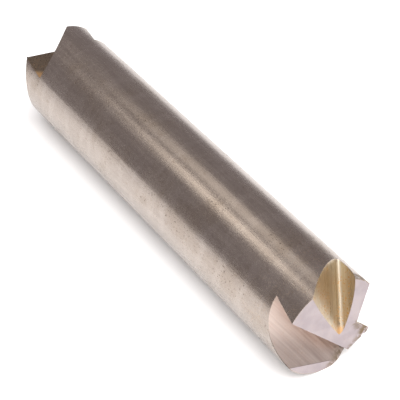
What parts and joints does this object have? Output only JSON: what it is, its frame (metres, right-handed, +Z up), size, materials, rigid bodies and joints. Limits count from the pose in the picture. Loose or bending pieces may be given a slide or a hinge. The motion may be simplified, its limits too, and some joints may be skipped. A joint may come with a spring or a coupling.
{
  "type": "end mill",
  "caption": "Double-ended solid end mill: a plain ground round bar with long and short cutting lips, gashes and relief faces on both end faces.",
  "frame": {"origin": "bottom centre of the tool lying on its side: under the middle of the bar, on the plane it rests on", "axes": "+X along the tool axis towards the reference cutting end, +Z up from the resting plane, +Y completes the frame"},
  "size_m": [0.0888, 0.019, 0.019],
  "materials": {
    "tool_steel": "satin"
  },
  "bodies": {
    "root": {"tool_body": "tool_steel"}
  },
  "joints": []
}
